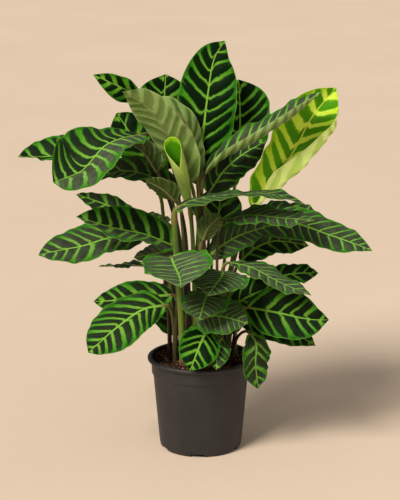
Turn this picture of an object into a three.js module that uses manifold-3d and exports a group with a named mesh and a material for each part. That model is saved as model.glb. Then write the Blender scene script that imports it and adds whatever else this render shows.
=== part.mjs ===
// A calathea with long waved leaves, standing in the soil of a round nursery pot.
// Millimetres, +Z up. The origin is the middle of the pot's foot, -Y is the front.
import * as THREE from "three";
import { mergeVertices } from "three/addons/utils/BufferGeometryUtils.js";
import Module from "manifold-3d";

const wasm = await Module();
wasm.setup();

// Pot
const POT_HEIGHT = 168;
const RIM_RADIUS = 95;
const RIM_DEPTH = 7;
const COLLAR_RADIUS = 87.5;
const COLLAR_DEPTH = 23;
const BODY_TOP_RADIUS = 85;
const BODY_FOOT_RADIUS = 74.5;
const FOOT_RADIUS = 70;
const FOOT_HEIGHT = 14;
const WALL = 2;
const FLOOR_LIFT = 6;
const FLOOR_THICKNESS = 2.5;
const PAD_RADIUS = 24;
const NOTCH_WIDTH = 25;
const NOTCH_COUNT = 6;
const NOTCH_TURN = -5;
const DRAIN_RADIUS = 5;
const DRAIN_CIRCLE = 48;
const POT_SIDES = 40;

// Soil
const SOIL_TOP = 162;
const SOIL_GAP = 0.35;
const SOIL_BUMP = 3;
const SOIL_RINGS = 4;
const SOIL_SIDES = 20;

// Leaves
const BLADE_THICKNESS = 0.8;
const RIB_DEPTH = 1.6;
const TIP_HALF_WIDTH = 0.8;
const CREASE_SHARE = 0.2;
const BEND_STEPS = 16;
const RING_BEND = 22;
const SWELLING = 0.8;
const ROW_LENGTH = 24;
const FEWEST_ROWS = 6;
const MOST_ROWS = 10;
const ROOT_DEPTH = 18;
const HOLE_GAP = 0.35;
const SHEATH_RISE = 4;
const STALK_FOOT = 16;
const STALK_END = 14;
const FEWEST_RINGS = 4;
const MOST_RINGS = 7;
const ROUTED_RINGS = 8;
const NARROW_SHARE = 0.4;
const WAVE_SHIFT = 0.3;
const ROW_SPREAD = 1.15;

// The new leaf
const ROLL_FOOT_RADIUS = 3.6;
const ROLL_WALL = 1.4;
const ROLL_ROWS = [0.1, 0.3, 0.55, 0.8, 1];
const MOUTH_ROWS = [1, 0.85, 0.65];
const MOUTH_START = 0.55;

// Leaf points are given as they line up from a distant eye in front of the plant: across and up on
// the upright plane through the pot's axis, then how far the point lies behind (+) that plane.
const EYE_DISTANCE = 2670;
const EYE_HEIGHT = 1007;

function seen([across, up, depth]) {
  const scale = 1 + depth / EYE_DISTANCE;
  return new THREE.Vector3(across * scale, depth, EYE_HEIGHT + (up - EYE_HEIGHT) * scale);
}

const radians = THREE.MathUtils.degToRad;

// ---------------------------------------------------------------- solids

function solid(geometry) {
  const plain = geometry.clone();
  plain.deleteAttribute("normal");
  plain.deleteAttribute("uv");
  const merged = mergeVertices(plain, 1e-4);
  return new wasm.Manifold(
    new wasm.Mesh({
      numProp: 3,
      vertProperties: merged.attributes.position.array,
      triVerts: new Uint32Array(merged.index.array),
    }),
  );
}

function geometryOf(manifold) {
  const made = manifold.getMesh();
  const geometry = new THREE.BufferGeometry();
  geometry.setAttribute("position", new THREE.BufferAttribute(made.vertProperties, 3));
  geometry.setIndex(new THREE.BufferAttribute(made.triVerts, 1));
  return geometry;
}

function lathe(profile, sides) {
  return new THREE.LatheGeometry(
    profile.map(([r, z]) => new THREE.Vector2(r, z)),
    sides,
  ).rotateX(Math.PI / 2);
}

// Closed skin over rings of equal length. The lower face of a blade is the second half of each
// ring, and its quads are split along the same diagonals as the upper face's.
function skin(rings) {
  const count = rings[0].length;
  const half = count / 2;
  const points = rings.flat();
  const at = (ring, place) => ring * count + (place % count);
  const faces = [];
  for (let ring = 0; ring + 1 < rings.length; ring++) {
    for (let place = 0; place < count; place++) {
      const a = at(ring, place);
      const b = at(ring, place + 1);
      const c = at(ring + 1, place + 1);
      const d = at(ring + 1, place);
      if (place < half) faces.push(a, b, c, a, c, d);
      else faces.push(a, b, d, b, c, d);
    }
  }
  const middle = (ring) =>
    ring.reduce((sum, p) => sum.add(p), new THREE.Vector3()).divideScalar(count);
  const first = points.push(middle(rings[0])) - 1;
  const last = points.push(middle(rings.at(-1))) - 1;
  for (let place = 0; place < count; place++) {
    faces.push(first, at(0, place + 1), at(0, place));
    faces.push(last, at(rings.length - 1, place), at(rings.length - 1, place + 1));
  }
  const geometry = new THREE.BufferGeometry().setFromPoints(points);
  geometry.setIndex(faces);
  return geometry;
}

// ---------------------------------------------------------------- leaves

// Half of a blade's width at t, as a share of the widest place: rounded at the foot, and the blunter
// ahead, the greater tip is.
function outline(leaf, t) {
  if (t < leaf.widest) return Math.sqrt(1 - ((leaf.widest - t) / leaf.widest) ** 2);
  return 1 - ((t - leaf.widest) / (1 - leaf.widest)) ** leaf.tip;
}

// Stalk radius from the sheath in the soil (0) to the swollen joint under the blade (1).
function stalkRadius(leaf, share) {
  const sheath = Math.max(0, 1 - share / leaf.sheathed);
  const joint = SWELLING * Math.max(0, 1 - Math.abs(share - 0.94) / 0.06);
  return THREE.MathUtils.lerp(leaf.stalk, leaf.sheath, sheath) + joint;
}

// A bent strip of one half blade: distance outward, height and angle at v, for a side that leaves
// the rib at the angle fold and turns by curl on its way to the edge. A creased side keeps its turn
// for a narrow stretch that starts at the share crease.
function bentSide(width, fold, curl, v, crease) {
  const angleAt = (place) => {
    if (crease === undefined) return fold + curl * place;
    return fold + curl * THREE.MathUtils.smoothstep(place, crease, crease + CREASE_SHARE);
  };
  let out = 0;
  let rise = 0;
  for (let k = 0; k < BEND_STEPS; k++) {
    const angle = angleAt((v * (k + 0.5)) / BEND_STEPS);
    out += (width * v * Math.cos(angle)) / BEND_STEPS;
    rise += (width * v * Math.sin(angle)) / BEND_STEPS;
  }
  return [out, rise, angleAt(v)];
}

function faceAt(faces, t) {
  if (faces.length === 1) return new THREE.Vector3(...faces[0]);
  const place = Math.min(t * (faces.length - 1), faces.length - 1.001);
  const before = Math.floor(place);
  return new THREE.Vector3(...faces[before]).lerp(
    new THREE.Vector3(...faces[before + 1]),
    place - before,
  );
}

function axesFor(tangent, face) {
  const lateral = new THREE.Vector3().crossVectors(tangent, face).normalize();
  const normal = new THREE.Vector3().crossVectors(lateral, tangent);
  return { lateral, normal };
}

function roundRing(centre, axes, radius, half) {
  return Array.from({ length: 2 * half }, (_, k) => {
    const angle = Math.PI - (Math.PI * (k + 0.5)) / half;
    return centre
      .clone()
      .addScaledVector(axes.lateral, radius * Math.cos(angle))
      .addScaledVector(axes.normal, radius * Math.sin(angle));
  });
}

function bladeRing(leaf, t, centre, axes, half) {
  const share = Math.max(outline(leaf, t), (2 * TIP_HALF_WIDTH) / leaf.width);
  const width = (share * leaf.width) / 2;
  const bend = Math.min(1, share / NARROW_SHARE);
  const upper = [];
  const lower = [];
  for (let k = 0; k < half; k++) {
    const across = (2 * k) / (half - 1) - 1;
    const side = Math.sign(across);
    const v = Math.abs(across);
    const [foldFoot, curlFoot, foldTip, curlTip] = side < 0 ? leaf.left : leaf.right;
    const ahead = THREE.MathUtils.smoothstep(t, 0, 1);
    const fold = THREE.MathUtils.lerp(foldFoot, foldTip ?? foldFoot, ahead);
    const curl = THREE.MathUtils.lerp(curlFoot, curlTip ?? curlFoot, ahead);
    const crease = leaf.crease && side > 0 ? THREE.MathUtils.lerp(...leaf.crease, t) : undefined;
    const [out, rise, end] = bentSide(width, radians(fold), radians(curl) * bend, v, crease);
    const turn = 2 * Math.PI * (leaf.waves * t + leaf.phase + (side < 0 ? WAVE_SHIFT : 0));
    const wave = leaf.wave * v * v * bend * Math.sin(turn);
    const up = axes.normal
      .clone()
      .multiplyScalar(Math.cos(end))
      .addScaledVector(axes.lateral, -side * Math.sin(end));
    const point = centre
      .clone()
      .addScaledVector(axes.lateral, side * out)
      .addScaledVector(axes.normal, rise)
      .addScaledVector(up, wave);
    const rib = v === 0 ? RIB_DEPTH * (1 - t) : 0;
    upper.push(point.clone().addScaledVector(up, BLADE_THICKNESS / 2));
    lower.unshift(point.addScaledVector(up, -BLADE_THICKNESS / 2 - rib));
  }
  return [...upper, ...lower];
}

// The stalk's middle line: upright in the soil, then in one sweep to the foot of the blade.
function stalkCurve(leaf, foot, arrive) {
  const root = new THREE.Vector3(leaf.root[0], leaf.root[1], SOIL_TOP + SHEATH_RISE);
  if (leaf.via) {
    const stops = leaf.via.map(seen);
    const before = foot.clone().addScaledVector(arrive, -STALK_END);
    const lift = root.clone().add(new THREE.Vector3(0, 0, STALK_FOOT));
    return new THREE.CatmullRomCurve3([root, lift, ...stops, before, foot]);
  }
  const length = root.distanceTo(foot);
  return new THREE.CubicBezierCurve3(
    root,
    root.clone().add(new THREE.Vector3(0, 0, leaf.rise * length)),
    foot.clone().addScaledVector(arrive, -leaf.reach * length),
    foot,
  );
}

// The more a stalk bends, the more rings it has.
function stalkSteps(leaf, curve) {
  if (leaf.via) return ROUTED_RINGS;
  const bend = curve.getTangentAt(0).angleTo(curve.getTangentAt(1));
  return THREE.MathUtils.clamp(Math.ceil(bend / radians(RING_BEND)), FEWEST_RINGS, MOST_RINGS);
}

function stalkRings(leaf, curve, axes, half) {
  const rings = [];
  const steps = stalkSteps(leaf, curve);
  let lateral = axes.lateral.clone();
  for (let k = steps; k >= 0; k--) {
    const share = k / steps;
    const tangent = curve.getTangentAt(share);
    lateral = lateral.addScaledVector(tangent, -lateral.dot(tangent)).normalize();
    const ringAxes = {
      lateral,
      normal: new THREE.Vector3().crossVectors(lateral, tangent),
    };
    rings.unshift(roundRing(curve.getPointAt(share), ringAxes, stalkRadius(leaf, share), half));
  }
  // The sheath's foot goes straight down into the soil.
  rings.unshift(
    rings[0].map((p) => new THREE.Vector3(p.x, p.y, SOIL_TOP - ROOT_DEPTH)),
  );
  return rings;
}

function leafGeometry(leaf) {
  const half = 2 * leaf.columns + 1;
  const rib = new THREE.CatmullRomCurve3(leaf.rib.map(seen));
  const foot = rib.getPointAt(0);
  const arrive = rib.getTangentAt(0);
  const curve = stalkCurve(leaf, foot, arrive);
  const rings = stalkRings(leaf, curve, axesFor(arrive, faceAt(leaf.face, 0)), half);
  const rowCount = Math.round(rib.getLength() / ROW_LENGTH);
  const rows = THREE.MathUtils.clamp(rowCount, FEWEST_ROWS, MOST_ROWS);
  for (let row = 1; row <= rows; row++) {
    const t = (row / rows) ** ROW_SPREAD;
    const axes = axesFor(rib.getTangentAt(t), faceAt(leaf.face, t));
    rings.push(bladeRing(leaf, t, rib.getPointAt(t), axes, half));
  }
  return skin(rings);
}

// A new leaf, still rolled into a slim funnel with a slanted mouth.
function furledGeometry(leaf) {
  const half = 6;
  const rib = new THREE.CatmullRomCurve3(leaf.rib.map(seen));
  const arrive = rib.getTangentAt(0);
  const curve = stalkCurve(leaf, rib.getPointAt(0), arrive);
  const rings = stalkRings(leaf, curve, axesFor(arrive, faceAt(leaf.face, 0)), half);
  const ringAt = (t, radius) => {
    const axes = axesFor(rib.getTangentAt(t), faceAt(leaf.face, t));
    const ring = roundRing(rib.getPointAt(t), axes, radius, half);
    const low = Math.max(0, t - MOUTH_START) * leaf.slant;
    return ring.map((p, k) => {
      const front = Math.sin(Math.PI - (Math.PI * (k + 0.5)) / half);
      return p.addScaledVector(rib.getTangentAt(t), -low * (1 + front));
    });
  };
  const radius = (t) => THREE.MathUtils.lerp(ROLL_FOOT_RADIUS, leaf.width / 2, Math.sqrt(t));
  ROLL_ROWS.forEach((t) => rings.push(ringAt(t, radius(t))));
  MOUTH_ROWS.forEach((t) => rings.push(ringAt(t, radius(t) - ROLL_WALL)));
  return skin(rings);
}

// ---------------------------------------------------------------- the leaf list

const ORDINARY = {
  widest: 0.44,
  tip: 2.7,
  right: [8, -10],
  left: [8, -10],
  wave: 3,
  waves: 2.2,
  phase: 0.1,
  columns: 2,
  rise: 0.45,
  reach: 0.14,
  sheath: 4.4,
  stalk: 2.6,
  sheathed: 0.6,
};

const leaves = [
  // The crown
  {
    name: "leaf_crown_tall",
    rib: [[-2, 505, 30], [12, 635, 33], [24, 700, 42], [41, 728, 52]],
    width: 104,
    face: [[0, -1, 0.1]],
    root: [2, 18],
    tip: 3.0,
    stalk: 3.2,
    sheath: 5.5,
    sheathed: 0.9,
  },
  {
    name: "leaf_crown_behind_right",
    rib: [[62, 500, 68], [68, 577, 82], [67, 630, 94], [65, 662, 100]],
    width: 108,
    face: [[-0.1, -1, 0.1]],
    root: [33, 43],
    widest: 0.62,
    tip: 3.5,
  },
  {
    name: "leaf_crown_behind_left",
    rib: [[-58, 505, 70], [-64, 590, 84], [-60, 671, 100]],
    width: 98,
    face: [[0.1, -1, 0.2]],
    root: [-16, 34],
    widest: 0.6,
    tip: 4,
  },
  {
    name: "leaf_crown_long_right",
    rib: [[6, 497, -16], [36, 528, -17], [78, 553, -14], [140, 592, -8], [207, 641, -4]],
    width: 72,
    face: [[-0.4, -0.35, 0.85]],
    root: [15, -11],
    right: [-30, 150],
    left: [18, -20],
    reach: 0.06,
    stalk: 3.0,
    sheathed: 0.9,
    columns: 3,
  },
  {
    name: "leaf_young_striped",
    rib: [[92, 436, 26], [135, 497, 30], [166, 546, 38], [190, 594, 46], [232, 648, 54]],
    width: 124,
    face: [[0.1, -0.95, 0.3]],
    root: [33, 22],
    right: [8, 176],
    left: [42, 0, 30, 0],
    widest: 0.55,
    crease: [0.08, 0.93],
    tip: 2.8,
    columns: 5,
  },
  {
    name: "leaf_crown_inner_right",
    rib: [[14, 462, 40], [40, 502, 44], [68, 528, 47], [114, 556, 53]],
    width: 80,
    face: [[-0.3, -0.7, 0.6]],
    root: [15, 36],
    sheath: 5.5,
    stalk: 3.2,
    sheathed: 1,
  },
  {
    name: "leaf_crown_arched",
    rib: [
      [-4, 478, -12], [-16, 536, -12], [-24, 584, -10], [-58, 616, -8],
      [-116, 640, -8], [-184, 670, -10],
    ],
    width: 66,
    face: [[-0.6, 0.8, 0.1], [-0.7, 0.7, 0], [-0.5, 0.6, -0.6], [-0.3, -0.6, -0.6], [0, -0.9, 0.3]],
    root: [-11, 4],
    right: [55, -10, 10, -10],
    left: [8, -10, 20, -10],
    tip: 4.2,
    widest: 0.36,
    sheath: 7.5,
    stalk: 4.5,
    sheathed: 1,
  },
  {
    name: "leaf_crown_underside",
    rib: [[-17, 482, -22], [-31, 524, -32], [-57, 566, -46], [-97, 618, -62], [-134, 641, -72]],
    width: 78,
    face: [[0.25, 0.9, 0.35]],
    root: [5, -17],
    right: [20, -10],
    left: [8, -10],
    tip: 3.2,
    widest: 0.5,
  },
  {
    name: "leaf_crown_left_back",
    rib: [[-70, 500, 41], [-119, 565, 56], [-145, 604, 64]],
    width: 80,
    face: [[0.2, -0.9, 0.4]],
    root: [-25, 23],
    tip: 3.2,
    widest: 0.55,
  },
  // The left side, upper half
  {
    name: "leaf_left_great",
    rib: [
      [-104, 567, -10], [-140, 559, -42], [-168, 545, -66], [-191, 519, -84],
      [-208, 502, -92], [-257, 482, -100],
    ],
    width: 136,
    face: [[0, -0.6, 0.8], [-0.05, -0.75, 0.65], [-0.15, -0.95, 0.3], [-0.15, -0.95, 0.3]],
    root: [-26, 12],
    right: [-28, 10, 0, 30],
    left: [32, -5, 60, -10],
    widest: 0.6,
    reach: 0.25,
    tip: 5,
    columns: 3,
  },
  {
    name: "leaf_left_far",
    rib: [[-170, 528, 22], [-230, 528, 32], [-317, 527, 38]],
    width: 80,
    face: [[-0.1, -0.8, 0.6]],
    root: [-45, 36],
    left: [60, -5],
    via: [[-65, 417, 16], [-73, 464, 18], [-110, 505, 20]],
    tip: 3.2,
    stalk: 3.2,
  },
  {
    name: "leaf_left_small_underside",
    rib: [[-76, 499, -34], [-91, 525, -36], [-103, 539, -32], [-117, 546, -20]],
    width: 51,
    face: [[0.1, 0.95, 0.3]],
    root: [-20, -20],
    rise: 0.55,
    widest: 0.5,
    tip: 3.2,
    wave: 1.5,
    right: [55, 0],
  },
  {
    name: "leaf_left_shaded",
    rib: [[-44, 452, -8], [-66, 480, -12], [-100, 497, -16], [-140, 502, -20], [-182, 486, -18]],
    width: 62,
    face: [[0, -0.75, 0.65]],
    root: [-20, -8],
    left: [40, -10],
  },
  {
    name: "leaf_centre_underside",
    rib: [[-44, 449, -46], [-64, 469, -57], [-97, 487, -66]],
    width: 56,
    face: [[0.1, 0.7, 0.7]],
    root: [-21, -31],
    wave: 1,
    right: [15, 0],
    left: [8, -10],
  },
  {
    name: "leaf_left_long",
    rib: [[-45, 366, -30], [-95, 388, -48], [-150, 400, -64], [-218, 421, -76]],
    width: 88,
    face: [[0, -0.8, 0.6]],
    root: [-45, -23],
    left: [50, -10],
    reach: 0.08,
  },
  {
    name: "leaf_left_blunt",
    rib: [[-100, 383, 10], [-155, 384, 3], [-205, 369, -5], [-250, 360, -10], [-286, 352, -14]],
    width: 80,
    face: [[0, -0.7, 0.7]],
    root: [-56, 46],
    left: [22, -10],
    tip: 3.6,
  },
  {
    name: "leaf_left_behind",
    rib: [[-100, 408, 42], [-160, 440, 56], [-217, 461, 66]],
    width: 44,
    face: [[0, -0.7, 0.7]],
    root: [-47, 56],
  },
  {
    name: "leaf_left_flat",
    rib: [[-60, 333, 62], [-120, 334, 72], [-180, 331, 78]],
    width: 50,
    face: [[0, 0.08, 1]],
    root: [-37, 66],
  },
  {
    name: "leaf_left_curled",
    rib: [[-44, 362, -17], [-80, 354, -21], [-118, 347, -24]],
    width: 36,
    face: [[0, -0.75, 0.6]],
    root: [-33, -4],
    stalk: 2.2,
    sheathed: 0.5,
  },
  // The left side, lower half
  {
    name: "leaf_left_low_back",
    rib: [[-50, 279, -10], [-110, 275, -14], [-165, 268, -18], [-190, 267, -18]],
    width: 60,
    face: [[0, -0.85, 0.5]],
    root: [-46, 25],
    right: [8, -10],
  },
  {
    name: "leaf_left_low",
    rib: [[-64, 260, -44], [-101, 253, -58], [-148, 220, -78], [-201, 172, -100]],
    width: 86,
    face: [[-0.3, -0.8, 0.5]],
    root: [-45, 6],
    widest: 0.54,
    tip: 3.2,
    sheath: 6,
    stalk: 3,
    sheathed: 0.9,
  },
  // Leaves that point to the front
  {
    name: "leaf_front_great",
    rib: [[-53, 349, -59], [-47, 333, -97], [-38, 313, -146], [-35, 293, -198]],
    width: 124,
    face: [[-0.14, -0.35, 0.95]],
    root: [-31, -23],
    right: [26, 0],
    left: [16, 0],
    reach: 0.08,
    tip: 5.5,
    widest: 0.48,
  },
  {
    name: "leaf_front_middle",
    rib: [[40, 322, -46], [36, 311, -86], [26, 297, -128], [13, 278, -160]],
    width: 102,
    face: [[0, -0.35, 0.95]],
    root: [26, -33],
  },
  {
    name: "leaf_front_low",
    rib: [[12, 282, -40], [6, 264, -92], [-3, 232, -136]],
    width: 84,
    face: [[0, -0.4, 0.9]],
    root: [3, -43],
  },
  {
    name: "leaf_front_low_right",
    rib: [[-6, 238, -52], [32, 240, -80], [84, 226, -112]],
    width: 78,
    face: [[0, -0.7, 0.7]],
    root: [15, -48],
  },
  {
    name: "leaf_front_hanging",
    rib: [[12, 216, -64], [0, 190, -92], [-19, 138, -116]],
    width: 70,
    face: [[0, -0.9, 0.3]],
    root: [6, -54],
  },
  {
    name: "leaf_front_hanging_right",
    rib: [[38, 200, -56], [30, 180, -84], [28, 140, -106]],
    width: 46,
    face: [[0.1, -0.8, 0.5]],
    root: [30, -48],
  },
  {
    name: "leaf_centre_small",
    rib: [[3, 378, -50], [14, 404, -54], [36, 424, -50]],
    width: 42,
    face: [[-0.2, 0.9, 0.4]],
    root: [5, -28],
    right: [50, 0],
    wave: 1,
  },
  // The right side, upper half
  {
    name: "leaf_right_arched",
    rib: [
      [-44, 434, -62], [-20, 449, -66], [20, 458, -70], [70, 461, -74],
      [125, 461, -77], [185, 442, -80],
    ],
    width: 96,
    face: [[0.15, -0.3, 0.92], [0, 0, 1], [0, 0.04, 1], [0, 0.04, 1]],
    root: [-32, -41],
    right: [4, 0, 5, -5],
    reach: 0.04,
    left: [-14, 0, 12, -5],
    stalk: 5,
    sheath: 6.5,
    sheathed: 1,
    widest: 0.28,
  },
  {
    name: "leaf_right_upper",
    rib: [[40, 414, -44], [86, 424, -60], [139, 419, -76], [200, 414, -90]],
    width: 66,
    face: [[0, -0.28, 0.95]],
    root: [32, -8],
    reach: 0.08,
  },
  {
    name: "leaf_right_behind",
    rib: [[90, 424, 34], [150, 431, 44], [206, 428, 48]],
    width: 52,
    face: [[0, -0.5, 0.85]],
    root: [46, 42],
  },
  {
    name: "leaf_right_longest",
    rib: [[92, 398, 4], [160, 409, -4], [224, 389, -20], [284, 367, -34], [302, 359, -40]],
    width: 74,
    face: [[0.1, -0.6, 0.8]],
    root: [43, 16],
  },
  {
    name: "leaf_right_inner",
    rib: [[13, 350, -5], [42, 372, -11], [70, 388, -12], [118, 404, -12]],
    width: 54,
    face: [[-0.2, -0.85, 0.5]],
    root: [21, -1],
  },
  {
    name: "leaf_right_middle",
    rib: [[70, 340, 24], [98, 365, 28], [130, 377, 32], [190, 369, 40]],
    width: 56,
    face: [[0, -0.7, 0.7]],
    root: [52, 28],
  },
  // The right side, lower half
  {
    name: "leaf_right_broad",
    rib: [[50, 338, -36], [88, 330, -54], [140, 302, -80], [196, 278, -98]],
    width: 66,
    face: [[0.1, -0.15, 1]],
    root: [37, -22],
  },
  {
    name: "leaf_right_low_behind",
    rib: [[106, 300, 44], [158, 317, 54], [208, 319, 60]],
    width: 48,
    face: [[0, -0.6, 0.8]],
    root: [60, 40],
    tip: 3.2,
  },
  {
    name: "leaf_right_shaded",
    rib: [[50, 252, -14], [85, 276, -14], [132, 293, -10], [170, 292, -6]],
    width: 62,
    face: [[0, -0.8, 0.6]],
    root: [46, 4],
  },
  {
    name: "leaf_right_low",
    rib: [[82, 256, -48], [134, 247, -64], [195, 234, -80], [228, 233, -86]],
    width: 90,
    face: [[0.1, -0.85, 0.5]],
    root: [49, -8],
    left: [36, -10],
  },
  {
    name: "leaf_right_low_under",
    rib: [[66, 238, 0], [125, 220, -16], [175, 203, -28], [205, 185, -34]],
    width: 56,
    face: [[0.1, -0.75, 0.65]],
    root: [62, 14],
  },
  {
    name: "leaf_right_hanging",
    rib: [[88, 208, -62], [99, 188, -74], [98, 155, -80], [103, 104, -80]],
    width: 56,
    face: [[0.5, -0.8, 0.2]],
    root: [57, 0],
  },
  // Within the plant and on its far side
  {
    name: "leaf_inner_right",
    rib: [[24, 385, 52], [32, 430, 56], [36, 480, 60]],
    width: 84,
    face: [[-0.1, -1, 0.2]],
    root: [16, 15],
  },
  {
    name: "leaf_back_middle",
    rib: [[20, 420, 70], [25, 440, 130], [30, 400, 210]],
    width: 96,
    face: [[0, 0.3, 1]],
    root: [2, 67],
  },
  {
    name: "leaf_back_left",
    rib: [[-60, 410, 70], [-110, 425, 120], [-150, 390, 180]],
    width: 84,
    face: [[0, 0.2, 1]],
    root: [-22, 52],
  },
  {
    name: "leaf_back_right",
    rib: [[80, 380, 70], [130, 395, 120], [180, 370, 170]],
    width: 84,
    face: [[0, 0.2, 1]],
    root: [34, 55],
  },
  {
    name: "leaf_back_low_left",
    rib: [[-34, 205, 74], [-46, 250, 84], [-56, 310, 98]],
    width: 84,
    face: [[0.1, -1, 0.3]],
    root: [-26, 66],
  },
  {
    name: "leaf_back_low_right",
    rib: [[40, 205, 66], [46, 250, 74], [52, 304, 90]],
    width: 80,
    face: [[0, -1, 0.3]],
    root: [46, 60],
  },
  {
    name: "leaf_back_upper",
    rib: [[-10, 520, 80], [-20, 560, 115], [-30, 600, 140]],
    width: 80,
    face: [[0, -0.5, 0.8]],
    root: [-4, 36],
  },
  {
    name: "leaf_back_low",
    rib: [[4, 240, 82], [9, 245, 117], [14, 205, 162]],
    width: 64,
    face: [[0, 0.4, 0.9]],
    root: [14, 68],
  },
];

const newLeaf = {
  name: "leaf_new_furled",
  rib: [[-20, 440, -16], [-26, 468, -28], [-38, 515, -56], [-52, 556, -68]],
  width: 29,
  face: [[0, -1, 0]],
  stalk: 3.6,
  sheathed: 0.9,
  root: [-9, -31],
  sheath: 5.5,
  slant: 30,
};

// ---------------------------------------------------------------- pot and soil

function potSolid() {
  const profile = [
    [0, 0],
    [PAD_RADIUS, 0],
    [PAD_RADIUS + 1, FLOOR_LIFT],
    [FOOT_RADIUS - 6, FLOOR_LIFT],
    [FOOT_RADIUS - 5, 0],
    [FOOT_RADIUS, 0],
    [FOOT_RADIUS + 3, 4],
    [BODY_FOOT_RADIUS, FOOT_HEIGHT],
    [BODY_TOP_RADIUS, POT_HEIGHT - RIM_DEPTH - COLLAR_DEPTH - 2],
    [COLLAR_RADIUS, POT_HEIGHT - RIM_DEPTH - COLLAR_DEPTH],
    [COLLAR_RADIUS + 1, POT_HEIGHT - RIM_DEPTH],
    [RIM_RADIUS - 1.5, POT_HEIGHT - RIM_DEPTH],
    [RIM_RADIUS, POT_HEIGHT - RIM_DEPTH + 1.5],
    [RIM_RADIUS, POT_HEIGHT - 2],
    [RIM_RADIUS - 2, POT_HEIGHT],
    [COLLAR_RADIUS + 1, POT_HEIGHT],
    [COLLAR_RADIUS + 1 - WALL, POT_HEIGHT - 2],
    [COLLAR_RADIUS - WALL, POT_HEIGHT - RIM_DEPTH - COLLAR_DEPTH + 1],
    [BODY_TOP_RADIUS - WALL, POT_HEIGHT - RIM_DEPTH - COLLAR_DEPTH - 3],
    [BODY_FOOT_RADIUS - WALL, FOOT_HEIGHT],
    [FOOT_RADIUS - 2, FLOOR_LIFT + FLOOR_THICKNESS],
    [0, FLOOR_LIFT + FLOOR_THICKNESS],
  ];
  let pot = solid(lathe(profile, POT_SIDES));
  for (let k = 0; k < NOTCH_COUNT; k++) {
    const turn = radians(NOTCH_TURN - 90 + (360 * k) / NOTCH_COUNT);
    const notch = new THREE.BoxGeometry(30, NOTCH_WIDTH, 2 * FLOOR_LIFT)
      .translate(FOOT_RADIUS, 0, 0)
      .rotateZ(turn);
    const drain = new THREE.CylinderGeometry(DRAIN_RADIUS, DRAIN_RADIUS, 40, 10)
      .rotateX(Math.PI / 2)
      .translate(DRAIN_CIRCLE, 0, FLOOR_LIFT)
      .rotateZ(turn + Math.PI / NOTCH_COUNT);
    pot = pot.subtract(solid(notch)).subtract(solid(drain));
  }
  return pot;
}

// Low lumps, the same on every build.
function lump(x, y) {
  return Math.sin(x * 0.21 + 1.3 * Math.sin(y * 0.17)) * Math.cos(y * 0.19 + 0.8 * Math.sin(x * 0.13));
}

function soilGeometry() {
  const low = FLOOR_LIFT + FLOOR_THICKNESS + SOIL_GAP;
  const neck = POT_HEIGHT - RIM_DEPTH - COLLAR_DEPTH - 3;
  const inset = WALL + SOIL_GAP;
  const outer = COLLAR_RADIUS - inset - 0.2;
  const profile = [
    [0, low],
    [FOOT_RADIUS - 2 - SOIL_GAP, low],
    [BODY_FOOT_RADIUS - inset, FOOT_HEIGHT + 0.2],
    [BODY_TOP_RADIUS - inset, neck],
    [outer, neck + 4.5],
    [outer, SOIL_TOP - 2],
  ];
  for (let k = SOIL_RINGS; k >= 0; k--) {
    profile.push([((outer - 1) * k) / SOIL_RINGS, SOIL_TOP]);
  }
  const geometry = mergeVertices(lathe(profile, SOIL_SIDES));
  const place = geometry.attributes.position;
  for (let k = 0; k < place.count; k++) {
    if (place.getZ(k) > SOIL_TOP - 0.01) {
      place.setZ(k, SOIL_TOP + SOIL_BUMP * lump(place.getX(k), place.getY(k)));
    }
  }
  return geometry;
}

// A six-sided hole round a stalk's straight foot.
function rootHole(leaf) {
  const radius = (leaf.sheath + HOLE_GAP) / Math.cos(Math.PI / 6);
  const height = ROOT_DEPTH + HOLE_GAP + 8;
  return new THREE.CylinderGeometry(radius, radius, height, 6)
    .rotateX(Math.PI / 2)
    .translate(leaf.root[0], leaf.root[1], SOIL_TOP - ROOT_DEPTH - HOLE_GAP + height / 2);
}

// ---------------------------------------------------------------- the group

const plastic = new THREE.MeshStandardMaterial({ color: 0x33302e, roughness: 0.55, metalness: 0 });
const earth = new THREE.MeshStandardMaterial({ color: 0x3b2a20, roughness: 1, metalness: 0 });
const green = new THREE.MeshStandardMaterial({ color: 0x2f5a1c, roughness: 0.6, metalness: 0 });
const youngGreen = new THREE.MeshStandardMaterial({ color: 0x7fa52e, roughness: 0.5, metalness: 0 });

const plant = new THREE.Group();

function add(name, geometry, material) {
  const mesh = new THREE.Mesh(geometry, material);
  mesh.name = name;
  plant.add(mesh);
}

const every = leaves.map((leaf) => ({ ...ORDINARY, ...leaf }));
const furled = { ...ORDINARY, ...newLeaf };

let soil = solid(soilGeometry());
for (const leaf of [...every, furled]) soil = soil.subtract(solid(rootHole(leaf)));

add("pot", geometryOf(potSolid()), plastic);
add("soil", geometryOf(soil), earth);
for (const leaf of every) {
  add(leaf.name, leafGeometry(leaf), leaf.name.includes("young") ? youngGreen : green);
}
add(furled.name, furledGeometry(furled), youngGreen);

export default plant;
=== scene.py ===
"""A potted calathea: waved, striped leaves on slim stalks, in the soil of a round nursery pot.

Lengths are millimetres until a mesh is made, +Z up, with the origin at the middle of the pot's foot.
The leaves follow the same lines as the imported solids, with finer rows, ripples, veins and ribs.
"""

import math

import bmesh
import bpy
import numpy as np
from mathutils import Euler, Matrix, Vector, noise


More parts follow.
